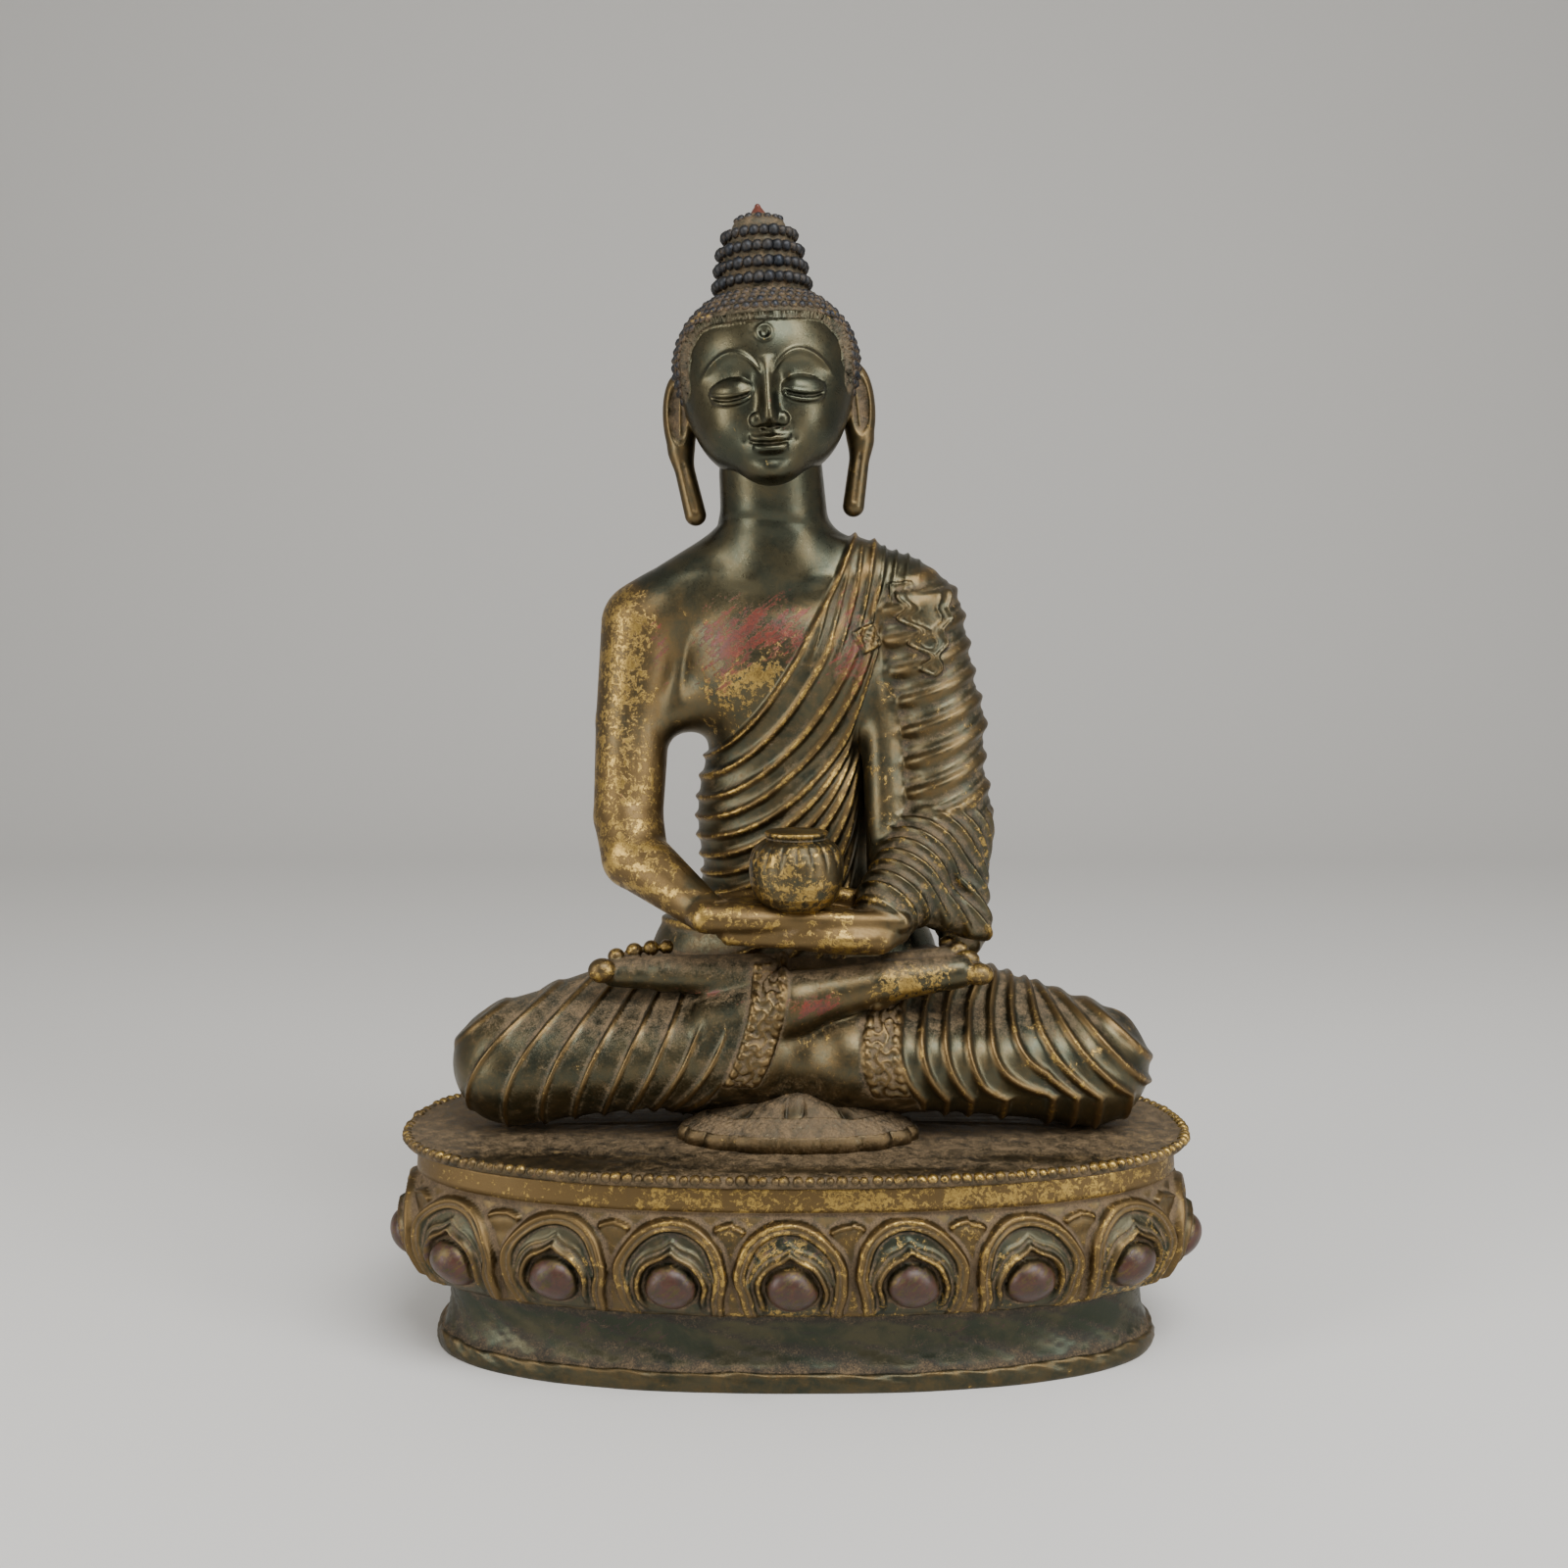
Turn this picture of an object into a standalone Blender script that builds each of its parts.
"""Seated medicine buddha of cast bronze on a lotus pedestal, in metres, +Z up, facing -Y.

The origin is the middle of the underside. Free forms of the figure are given in shares of its own height.
"""
import bmesh
import bpy
import numpy as np

MM = 0.001

# Plan of the seat, which every level of the pedestal is set in from or stands proud of
PLAN_HALF_WIDTH = 104.2 * MM
PLAN_FRONT = 46.0 * MM
PLAN_BACK = 57.0 * MM
PLAN_POWER = 2.35

# Pedestal
PEDESTAL_HEIGHT = 54.3 * MM
FOOT_LIP_HEIGHT = 4.8 * MM
FOOT_LIP_INSET = 8.2 * MM
NECK_INSET = 11.8 * MM
NECK_HEIGHT = 17.0 * MM
DRUM_INSET = 1.4 * MM
COLLAR_INSET = 3.6 * MM
COLLAR_HEIGHT = 7.4 * MM
EDGE_ROUND = 0.8 * MM

# Lotus petals round the drum
PETAL_COUNT = 18
PETAL_SWELL = 3.4 * MM
PETAL_EDGE = 1.0 * MM
PETAL_LIP = 0.9 * MM
BOSS_RADIUS = 6.4 * MM
BOSS_RISE = 4.0 * MM
BOSS_LEVEL = 0.32
HOOD_RADIUS = 9.6 * MM
HOOD_RISE = 1.3 * MM

# Seat plate with its rolled rim
SEAT_GAP = 0.3 * MM
SEAT_THICKNESS = 3.2 * MM
RIM_RADIUS = 2.0 * MM

# Figure, from the seat to the tip of the crest
FIGURE_HEIGHT = 242.8 * MM
SHARES = 242.8
SHARE = FIGURE_HEIGHT / SHARES
SEAT_TOP = PEDESTAL_HEIGHT + SEAT_GAP + SEAT_THICKNESS
PLAN_CENTRE_Y = (PLAN_FRONT - PLAN_BACK) / 2

# Mesh sizes
FIGURE_VOXEL = 1.15 * MM
FIGURE_TRIANGLES = 5800
PEDESTAL_TRIANGLES = 2700
PETAL_COLUMNS = 24
SEAT_COLUMNS = 72


def clear_scene():
    for item in list(bpy.data.objects):
        bpy.data.objects.remove(item, do_unlink=True)


def new_collection(name):
    group = bpy.data.collections.new(name)
    bpy.context.scene.collection.children.link(group)
    return group


def make_material(name, colour, metallic, roughness):
    material = bpy.data.materials.new(name)
    material.use_nodes = True
    shader = material.node_tree.nodes["Principled BSDF"]
    shader.inputs["Base Color"].default_value = (*colour, 1.0)
    shader.inputs["Metallic"].default_value = metallic
    shader.inputs["Roughness"].default_value = roughness
    return material


def smooth_step(low, high, value):
    share = np.clip((value - low) / (high - low), 0.0, 1.0)
    return share * share * (3.0 - 2.0 * share)


# Plan curves and lofted rings


def plan_point(angle, out):
    """Point of the plan curve set out by a distance, for an array of angles from +X."""
    across = np.cos(angle)
    along = np.sin(angle)
    depth = np.where(along < 0.0, PLAN_FRONT, PLAN_BACK) + out
    share = 2.0 / PLAN_POWER
    x = (PLAN_HALF_WIDTH + out) * np.sign(across) * np.abs(across) ** share
    y = depth * np.sign(along) * np.abs(along) ** share + PLAN_CENTRE_Y
    return x, y


def even_angles(count):
    """Angles that step evenly along the plan curve, starting at the front middle."""
    dense = np.linspace(-np.pi / 2, 1.5 * np.pi, 7201)
    x, y = plan_point(dense, 0.0)
    run = np.concatenate(([0.0], np.cumsum(np.hypot(np.diff(x), np.diff(y)))))
    steps = np.arange(count) / count * run[-1]
    return np.interp(steps, run, dense), run[-1]


def plan_normal(angle):
    """Outward direction of the plan curve."""
    x0, y0 = plan_point(angle - 0.002, 0.0)
    x1, y1 = plan_point(angle + 0.002, 0.0)
    length = np.hypot(x1 - x0, y1 - y0)
    return (y1 - y0) / length, -(x1 - x0) / length


def loft_rings(name, rings):
    """Closed solid through rings of equal count, from the lowest to the highest."""
    count = len(rings[0])
    mesh = bpy.data.meshes.new(name)
    points = np.concatenate(rings)
    faces = []
    for row in range(len(rings) - 1):
        for column in range(count):
            low = row * count + column
            beside = row * count + (column + 1) % count
            faces.append((low, beside, beside + count, low + count))
    faces.append(tuple(reversed(range(count))))
    faces.append(tuple(range((len(rings) - 1) * count, len(rings) * count)))
    mesh.from_pydata(points.tolist(), [], faces)
    mesh.update()
    return mesh


# Lotus pedestal


def petal_relief(across, rise, pitch, tall):
    """Height of the petal carving over the drum, at a distance from the petal's middle line and its foot."""
    half = 0.485 * pitch
    bend = 0.36 * tall
    arch = half * np.sqrt(np.clip(1.0 - ((rise - bend) / (tall - bend)) ** 2, 0.0, 1.0))
    arch = np.where(rise < bend, half, arch)
    inside = smooth_step(0.0, PETAL_EDGE, arch - np.abs(across))
    swell = PETAL_SWELL * (0.30 + 0.70 * np.sin(np.pi * np.clip(0.15 + 0.85 * rise / tall, 0.0, 1.0)))
    lip = PETAL_LIP * np.exp(-(((arch - np.abs(across)) / PETAL_EDGE - 1.3) ** 2))
    reach = np.hypot(across, rise - BOSS_LEVEL * tall)
    boss = BOSS_RISE * np.sqrt(np.clip(1.0 - (reach / BOSS_RADIUS) ** 2, 0.0, 1.0))
    hood = HOOD_RISE * np.exp(-(((reach - HOOD_RADIUS) / PETAL_EDGE) ** 2))
    hood = hood * smooth_step(-0.1, 0.2, rise / tall - BOSS_LEVEL + 0.1)
    leaf = 0.5 * PETAL_SWELL * smooth_step(0.0, 0.35 * half, np.abs(across) - arch * 0.98)
    return inside * (swell + lip + hood + boss) + (1.0 - inside) * leaf * smooth_step(0.0, 0.2, 1.0 - rise / tall)


def build_pedestal(group, material):
    columns = PETAL_COUNT * PETAL_COLUMNS
    angle, girth = even_angles(columns)
    pitch = girth / PETAL_COUNT
    step = np.arange(columns) / PETAL_COLUMNS
    across = (step - np.round(step)) * pitch
    petal_foot = FOOT_LIP_HEIGHT + NECK_HEIGHT
    petal_top = PEDESTAL_HEIGHT - COLLAR_HEIGHT
    levels = [
        (0.0, FOOT_LIP_INSET),
        (FOOT_LIP_HEIGHT - EDGE_ROUND, FOOT_LIP_INSET),
        (FOOT_LIP_HEIGHT, FOOT_LIP_INSET + EDGE_ROUND),
        (FOOT_LIP_HEIGHT + 2 * EDGE_ROUND, NECK_INSET),
        (FOOT_LIP_HEIGHT + 0.5 * NECK_HEIGHT, NECK_INSET),
        (petal_foot - 2 * EDGE_ROUND, 0.7 * NECK_INSET),
    ]
    petal_rows = 26
    for row in range(petal_rows + 1):
        share = row / petal_rows
        belly = DRUM_INSET + COLLAR_INSET * (2.0 * share - 1.0) ** 2
        levels.append((petal_foot + share * (petal_top - petal_foot), belly))
    levels.append((petal_top + EDGE_ROUND, COLLAR_INSET))
    levels.append((PEDESTAL_HEIGHT, COLLAR_INSET))
    normal_x, normal_y = plan_normal(angle)
    rings = []
    for height, inset in levels:
        x, y = plan_point(angle, -inset)
        relief = np.zeros(columns)
        if petal_foot <= height <= petal_top:
            relief = petal_relief(across, height - petal_foot, pitch, petal_top - petal_foot)
        rings.append(np.stack((x + normal_x * relief, y + normal_y * relief, np.full(columns, height)), axis=1))
    mesh = loft_rings("lotus_pedestal", rings)
    item = bpy.data.objects.new("lotus_pedestal", mesh)
    group.objects.link(item)
    mesh.materials.append(material)
    thin_out(item, PEDESTAL_TRIANGLES)
    return item


def thin_out(item, triangles):
    """Applies a Decimate modifier down to a number of triangles."""
    mesh = item.data
    mesh.calc_loop_triangles()
    now = len(mesh.loop_triangles)
    modifier = item.modifiers.new("thin_out", "DECIMATE")
    modifier.ratio = min(1.0, triangles / now)
    apply_modifiers(item)


def apply_modifiers(item):
    graph = bpy.context.evaluated_depsgraph_get()
    mesh = bpy.data.meshes.new_from_object(item.evaluated_get(graph), depsgraph=graph)
    item.modifiers.clear()
    item.data = mesh


# Distances to the figure's round forms, in shares of its height above the seat


def ball(points, centre, radii):
    """Distance to an ellipsoid, near enough close to its skin."""
    offset = points - np.array(centre)
    radii = np.array(radii, dtype=float)
    outer = np.linalg.norm(offset / radii, axis=1)
    inner = np.linalg.norm(offset / radii**2, axis=1)
    return outer * (outer - 1.0) / np.maximum(inner, 1e-9)


def limb(points, start, start_radius, end, end_radius):
    """Distance to a limb with round ends that tapers from start to end."""
    start = np.array(start, dtype=float)
    axis = np.array(end, dtype=float) - start
    offset = points - start
    length = np.dot(axis, axis)
    share = np.clip(offset @ axis / length, 0.0, 1.0)
    radius = start_radius + (end_radius - start_radius) * share
    return np.linalg.norm(offset - share[:, None] * axis, axis=1) - radius


def blend(first, second, reach):
    """Smooth union of two distances."""
    share = np.maximum(reach - np.abs(first - second), 0.0) / reach
    return np.minimum(first, second) - share * share * reach * 0.25


HEAD_CENTRE = (-7.6, 6.0, 197.0)
HEAD_LEAN = np.radians(3.2)
TORSO = [
    ("ball", (-2.0, 15.0, 122.0), (31.0, 19.5, 27.0), 6.0),
    ("ball", (-1.5, 17.0, 80.0), (24.5, 17.0, 36.0), 9.0),
    ("ball", (0.0, 20.0, 38.0), (40.0, 24.0, 28.0), 9.0),
    ("limb", (-5.0, 14.0, 148.0), 13.5, (-34.0, 15.0, 136.0), 9.5, 8.0),
    ("limb", (-5.0, 14.0, 148.0), 13.5, (27.0, 15.0, 140.5), 11.0, 8.0),
    ("limb", (-5.0, 13.0, 150.0), 14.8, (-6.6, 8.0, 172.0), 13.8, 4.0),
    ("limb", (-27.0, 13.0, 112.0), 8.0, (-36.0, 12.0, 108.0), 6.5, 5.0),
]
BARE_ARM = [
    ("limb", (-40.6, 14.0, 131.5), 12.4, (-44.8, 10.0, 104.0), 9.8, 5.0),
    ("limb", (-44.8, 10.0, 104.0), 9.8, (-45.0, 2.0, 76.5), 8.8, 3.0),
    ("limb", (-45.0, 2.0, 76.5), 8.7, (-24.0, -20.0, 59.5), 6.4, 2.5),
]
SLEEVE = [
    ("limb", (31.0, 14.0, 134.0), 14.0, (38.0, 10.0, 106.0), 12.0, 5.0),
    ("limb", (38.0, 10.0, 106.0), 12.0, (39.0, 2.0, 76.5), 12.2, 3.0),
    ("limb", (39.0, 2.0, 76.5), 11.6, (23.0, -17.0, 60.5), 9.0, 3.0),
    ("limb", (41.0, -2.0, 76.0), 9.0, (45.0, -4.0, 54.0), 6.0, 4.0),
]
LAP = [
    ("limb", (-16.0, 18.0, 30.0), 20.0, (-76.0, -4.0, 16.6), 14.4, 6.0),
    ("limb", (16.0, 18.0, 30.0), 20.0, (79.2, -4.0, 16.0), 14.6, 6.0),
    ("limb", (-73.0, -8.0, 15.0), 13.2, (-12.0, -17.0, 22.0), 12.0, 9.0),
    ("limb", (76.0, -8.0, 14.6), 13.2, (14.0, -17.0, 20.0), 12.0, 9.0),
    ("ball", (0.0, 0.0, 20.0), (44.0, 20.0, 25.0), 9.0),
]
SHINS = [
    ("limb", (-16.0, -19.0, 29.0), 9.0, (14.0, -20.0, 34.0), 7.5, 2.0),
    ("limb", (14.0, -20.0, 34.0), 7.5, (41.0, -16.0, 40.5), 5.6, 2.0),
    ("limb", (-14.0, -12.0, 41.0), 7.0, (-42.0, -8.0, 43.5), 5.2, 2.0),
]
HANDS = [
    ("ball", (-3.0, -20.0, 58.5), (25.0, 11.0, 4.2), 1.5),
    ("ball", (5.0, -21.0, 54.0), (26.0, 12.5, 5.0), 1.5),
]
JAR = [
    ("ball", (0.0, -22.0, 72.0), (12.0, 12.0, 9.4), 1.0),
    ("limb", (0.0, -22.0, 78.0), 6.4, (0.0, -22.0, 76.0), 6.4, 1.5),
]
FAN = [("ball", (0.5, -17.0, 0.0), (31.0, 15.0, 15.0), 1.5)]
PANEL = [("limb", (23.0, 8.0, 118.0), 5.0, (25.0, -3.0, 62.0), 6.0, 4.0)]
FORMS = [TORSO, BARE_ARM, SLEEVE, LAP, SHINS, HANDS, JAR, FAN, PANEL]


def form_distance(points, form):
    if form[0] == "ball":
        return ball(points, form[1], form[2])
    return limb(points, form[1], form[2], form[3], form[4])


def group_distance(points, group):
    """Distance to one group of forms, blended into each other."""
    distance = np.full(len(points), 1e3)
    for form in group:
        distance = blend(distance, form_distance(points, form), form[-1])
    return distance


def head_space(points):
    """Points in the head's own upright frame."""
    offset = points - np.array(HEAD_CENTRE)
    cos, sin = np.cos(HEAD_LEAN), np.sin(HEAD_LEAN)
    local = offset.copy()
    local[:, 0] = cos * offset[:, 0] + sin * offset[:, 2]
    local[:, 2] = -sin * offset[:, 0] + cos * offset[:, 2]
    return local


def head_distance(points):
    """Distance to the head: face, hair, crest and ears, all in shares from the middle of the head."""
    local = head_space(points)
    mirrored = local.copy()
    mirrored[:, 0] = np.abs(local[:, 0])
    face = ball(mirrored, (0.0, 2.0, 2.0), (20.6, 19.5, 22.0))
    face = blend(face, ball(mirrored, (0.0, -2.0, -9.0), (19.4, 15.0, 16.0)), 6.0)
    face = blend(face, ball(mirrored, (0.0, -8.0, -19.5), (10.5, 9.0, 8.5)), 6.0)
    face = blend(face, limb(mirrored, (0.0, -16.6, -2.0), 1.6, (0.0, -19.6, -12.6), 2.5), 2.5)
    face = blend(face, limb(mirrored, (0.0, -17.4, -13.4), 1.6, (2.6, -16.6, -13.6), 1.5), 1.2)
    face = blend(face, limb(mirrored, (2.0, -17.0, -1.6), 0.8, (9.0, -15.6, 1.2), 0.9), 1.5)
    face = blend(face, limb(mirrored, (9.0, -15.6, 1.2), 0.9, (15.5, -11.4, -1.6), 0.7), 1.5)
    face = blend(face, ball(mirrored, (8.6, -12.8, -5.2), (4.6, 3.6, 3.0)), 0.8)
    face = blend(face, limb(mirrored, (0.0, -17.4, -18.4), 1.1, (5.0, -15.6, -18.0), 0.6), 0.8)
    face = blend(face, limb(mirrored, (0.0, -16.9, -20.4), 1.3, (3.4, -15.9, -19.8), 0.8), 0.8)
    hair = ball(mirrored, (0.0, 3.5, 3.0), (25.4, 23.6, 21.8))
    window = np.maximum(np.maximum(mirrored[:, 0] - 20.6, local[:, 2] - 12.4), local[:, 1] - 2.0)
    hair = np.maximum(np.maximum(hair, -window), -13.0 - local[:, 2])
    curls = 0.5 * np.sin(2.0 * np.pi * local[:, 0] / 4.6) * np.sin(2.0 * np.pi * local[:, 2] / 4.6)
    crest = ball(mirrored, (0.0, 5.0, 25.0), (13.2, 13.2, 17.5))
    bands = 0.6 * np.cos(2.0 * np.pi * (local[:, 2] - 24.0) / 4.2)
    jewel = ball(mirrored, (0.0, 5.0, 41.5), (3.4, 3.4, 4.4))
    distance = blend(face, hair - curls, 0.8)
    distance = blend(distance, crest - bands, 2.0)
    distance = blend(distance, jewel, 0.8)
    ear = ball(mirrored, (24.6, 5.5, -8.5), (3.4, 5.6, 11.5))
    lobe = limb(mirrored, (24.4, 4.5, -16.0), 2.8, (20.9, 2.5, -33.4), 3.2)
    return blend(distance, blend(ear, lobe, 4.0), 1.5)


# Folds of the dress


def torso_folds(points):
    """Ridges that hang from the covered shoulder and sweep round to the bare side's waist."""
    x, y, z = points.T
    run = np.clip((x + 27.0) / 49.0, 0.0, 1.0) ** 2.2
    side_height = (z - run * 118.0) / (1.0 - run + run * 0.25)
    front = smooth_step(26.0, 16.0, y)
    hem = smooth_step(0.0, 1.2, 101.0 - side_height)
    sleeve = smooth_step(27.0, 23.0, x)
    band = smooth_step(52.0, 58.0, z)
    ridge = np.abs(np.sin(np.pi * (101.0 - side_height) / 5.4)) ** 0.8
    crowded = smooth_step(0.95, 0.6, run)
    across_back = np.abs(np.sin(np.pi * (z + 0.7 * x) / 9.0)) ** 0.8 * smooth_step(22.0, 28.0, y)
    return front * hem * sleeve * band * (0.4 + 1.1 * ridge * crowded) + 0.7 * across_back * band


def sleeve_folds(points):
    """Slanting bands round the covered arm."""
    x, y, z = points.T
    along = z - 0.42 * (x - 38.0)
    mask = smooth_step(23.0, 28.0, x) * smooth_step(50.0, 56.0, z) * smooth_step(150.0, 138.0, z)
    pitch = np.where(z > 85.0, 8.0, 4.6)
    return mask * 1.0 * np.abs(np.sin(np.pi * along / pitch)) ** 0.8


def lap_folds(points):
    """Pleats that sweep over each thigh from the hip to the knee."""
    x, y, z = points.T
    side = np.abs(x)
    slant = np.where(x < 0.0, side - 0.75 * (30.0 - z) * smooth_step(95.0, 60.0, side), side + 0.5 * (z - 22.0))
    mask = smooth_step(24.0, 30.0, side) * smooth_step(-2.0, 3.0, z) * smooth_step(46.0, 40.0, z)
    mask = mask * smooth_step(30.0, 15.0, y)
    return mask * (1.5 * np.abs(np.sin(np.pi * slant / 5.6)) ** 0.8 - 0.3)


def fan_folds(points):
    """Pleats that spread from the middle of the cloth in front of the ankles."""
    x, y, z = points.T
    turn = np.arctan2(x - 0.5, 14.0 - y * 0.2)
    return 0.8 * np.abs(np.sin(13.0 * turn)) ** 0.8 * smooth_step(0.5, 3.0, z)


def figure_distance(points):
    """Distance to the whole figure, with its carving."""
    body = group_distance(points, TORSO) - torso_folds(points)
    body = blend(body, group_distance(points, PANEL), 3.0)
    body = blend(body, group_distance(points, SLEEVE) - sleeve_folds(points), 4.0)
    body = blend(body, group_distance(points, BARE_ARM), 4.0)
    body = blend(body, group_distance(points, LAP) - lap_folds(points), 4.0)
    body = blend(body, group_distance(points, SHINS), 2.0)
    body = blend(body, group_distance(points, HANDS), 2.0)
    body = blend(body, group_distance(points, JAR), 1.0)
    body = blend(body, group_distance(points, FAN) - fan_folds(points), 1.0)
    return blend(body, head_distance(points), 1.5)


# Mesh of the figure


class RoughForm:
    """Overlapping balls, which a Remesh modifier fuses."""

    def __init__(self):
        made = bmesh.new()
        bmesh.ops.create_uvsphere(made, u_segments=24, v_segments=14, radius=1.0)
        made.verts.ensure_lookup_table()
        self.unit = np.array([vertex.co[:] for vertex in made.verts])
        self.faces = [[vertex.index for vertex in face.verts] for face in made.faces]
        made.free()
        self.points = []

    def ball(self, centre, radii):
        self.points.append(self.unit * np.array(radii) + np.array(centre))

    def limb(self, start, start_radius, end, end_radius):
        start = np.array(start, dtype=float)
        end = np.array(end, dtype=float)
        steps = max(1, int(np.linalg.norm(end - start) / 2.0))
        for share in np.linspace(0.0, 1.0, steps + 1):
            radius = start_radius + (end_radius - start_radius) * share
            self.ball(start + (end - start) * share, (radius, radius, radius))

    def mesh(self, name):
        faces = []
        for number in range(len(self.points)):
            first = number * len(self.unit)
            faces.extend([[first + corner for corner in face] for face in self.faces])
        made = bpy.data.meshes.new(name)
        made.from_pydata(np.concatenate(self.points).tolist(), [], faces)
        made.update()
        return made


def place_on_seat(points):
    return points * SHARE + np.array((0.0, 0.0, SEAT_TOP))


def build_figure(group, material):
    rough = RoughForm()
    for forms in FORMS:
        for form in forms:
            if form[0] == "ball":
                rough.ball(form[1], form[2])
            else:
                rough.limb(form[1], form[2], form[3], form[4])
    x, y, z = HEAD_CENTRE
    rough.ball((x, y + 2.0, z + 2.0), (24.0, 23.0, 24.0))
    rough.ball((x, y, z - 8.0), (18.0, 18.0, 18.0))
    rough.ball((x - 1.5, y + 5.0, z + 25.0), (13.0, 13.0, 17.0))
    rough.ball((x - 2.3, y + 5.0, z + 41.5), (3.4, 3.4, 4.4))
    for side in (-1.0, 1.0):
        rough.ball((x + side * 25.2, y + 5.5, z - 9.0), (3.4, 5.6, 11.0))
        rough.limb((x + 0.9 + side * 24.0, y + 4.5, z - 16.0), 2.8, (x + 1.8 + side * 21.2, y + 2.5, z - 33.6), 3.1)
    mesh = rough.mesh("seated_figure")
    item = bpy.data.objects.new("seated_figure", mesh)
    group.objects.link(item)
    fuse = item.modifiers.new("fuse", "REMESH")
    fuse.mode = "VOXEL"
    fuse.voxel_size = FIGURE_VOXEL / SHARE
    apply_modifiers(item)
    shrink_to(item, figure_distance)
    cut_below(item.data, -0.5 * SEAT_THICKNESS / SHARE)
    return item


def cut_below(mesh, height):
    """Cuts off what is below a height, and closes the cut."""
    made = bmesh.new()
    made.from_mesh(mesh)
    every = made.verts[:] + made.edges[:] + made.faces[:]
    cut = bmesh.ops.bisect_plane(
        made, geom=every, dist=1e-4, plane_co=(0.0, 0.0, height), plane_no=(0.0, 0.0, -1.0), clear_outer=True
    )
    rim = [part for part in cut["geom_cut"] if isinstance(part, bmesh.types.BMEdge)]
    bmesh.ops.edgenet_fill(made, edges=rim)
    bmesh.ops.triangulate(made, faces=[face for face in made.faces if len(face.verts) > 4])
    bmesh.ops.recalc_face_normals(made, faces=made.faces[:])
    made.to_mesh(mesh)
    made.free()
    mesh.update()


def read_points(mesh):
    points = np.empty(len(mesh.vertices) * 3)
    mesh.vertices.foreach_get("co", points)
    return points.reshape(-1, 3)


def write_points(mesh, points):
    mesh.vertices.foreach_set("co", points.ravel())
    mesh.update()


def shrink_to(item, distance):
    """Moves every vertex onto the surface where the distance is nought."""
    points = read_points(item.data)
    nudge = 0.05
    for _ in range(4):
        here = distance(points)
        slope = np.empty_like(points)
        for axis in range(3):
            beside = points.copy()
            beside[:, axis] += nudge
            slope[:, axis] = (distance(beside) - here) / nudge
        steep = np.maximum(np.linalg.norm(slope, axis=1), 0.5)
        move = np.clip(here, -1.5, 1.5) / steep**2
        points -= slope * move[:, None]
    write_points(item.data, points)


def build_seat():
    """Seat plate with a rolled rim, flat below."""
    angle, _ = even_angles(SEAT_COLUMNS)
    under = PEDESTAL_HEIGHT + SEAT_GAP
    levels = [(under, -RIM_RADIUS)]
    for step in range(6):
        turn = np.radians(-75.0 + 37.0 * step)
        levels.append((under + RIM_RADIUS * (1.0 + np.sin(turn)), RIM_RADIUS * (np.cos(turn) - 1.0)))
    levels.append((SEAT_TOP, -2.4 * RIM_RADIUS))
    rings = []
    for height, out in levels:
        x, y = plan_point(angle, out)
        rings.append(np.stack((x, y, np.full(len(angle), height)), axis=1))
    return bpy.data.objects.new("seat_plate", loft_rings("seat_plate", rings))


def main():
    clear_scene()
    statue = new_collection("medicine_buddha_statue")
    cutters = new_collection("cutters")
    bronze = make_material("gilt_bronze", (0.14, 0.10, 0.05), 0.85, 0.42)
    lotus = make_material("worn_lotus_bronze", (0.22, 0.15, 0.06), 0.80, 0.48)
    build_pedestal(statue, lotus)
    figure = build_figure(statue, bronze)
    write_points(figure.data, place_on_seat(read_points(figure.data)))
    thin_out(figure, FIGURE_TRIANGLES)
    seat = build_seat()
    cutters.objects.link(seat)
    seat.hide_render = True
    seat.display_type = "WIRE"
    join = figure.modifiers.new("seat", "BOOLEAN")
    join.operation = "UNION"
    join.solver = "EXACT"
    join.object = seat
    apply_modifiers(figure)
    figure.data.materials.clear()
    figure.data.materials.append(bronze)


main()
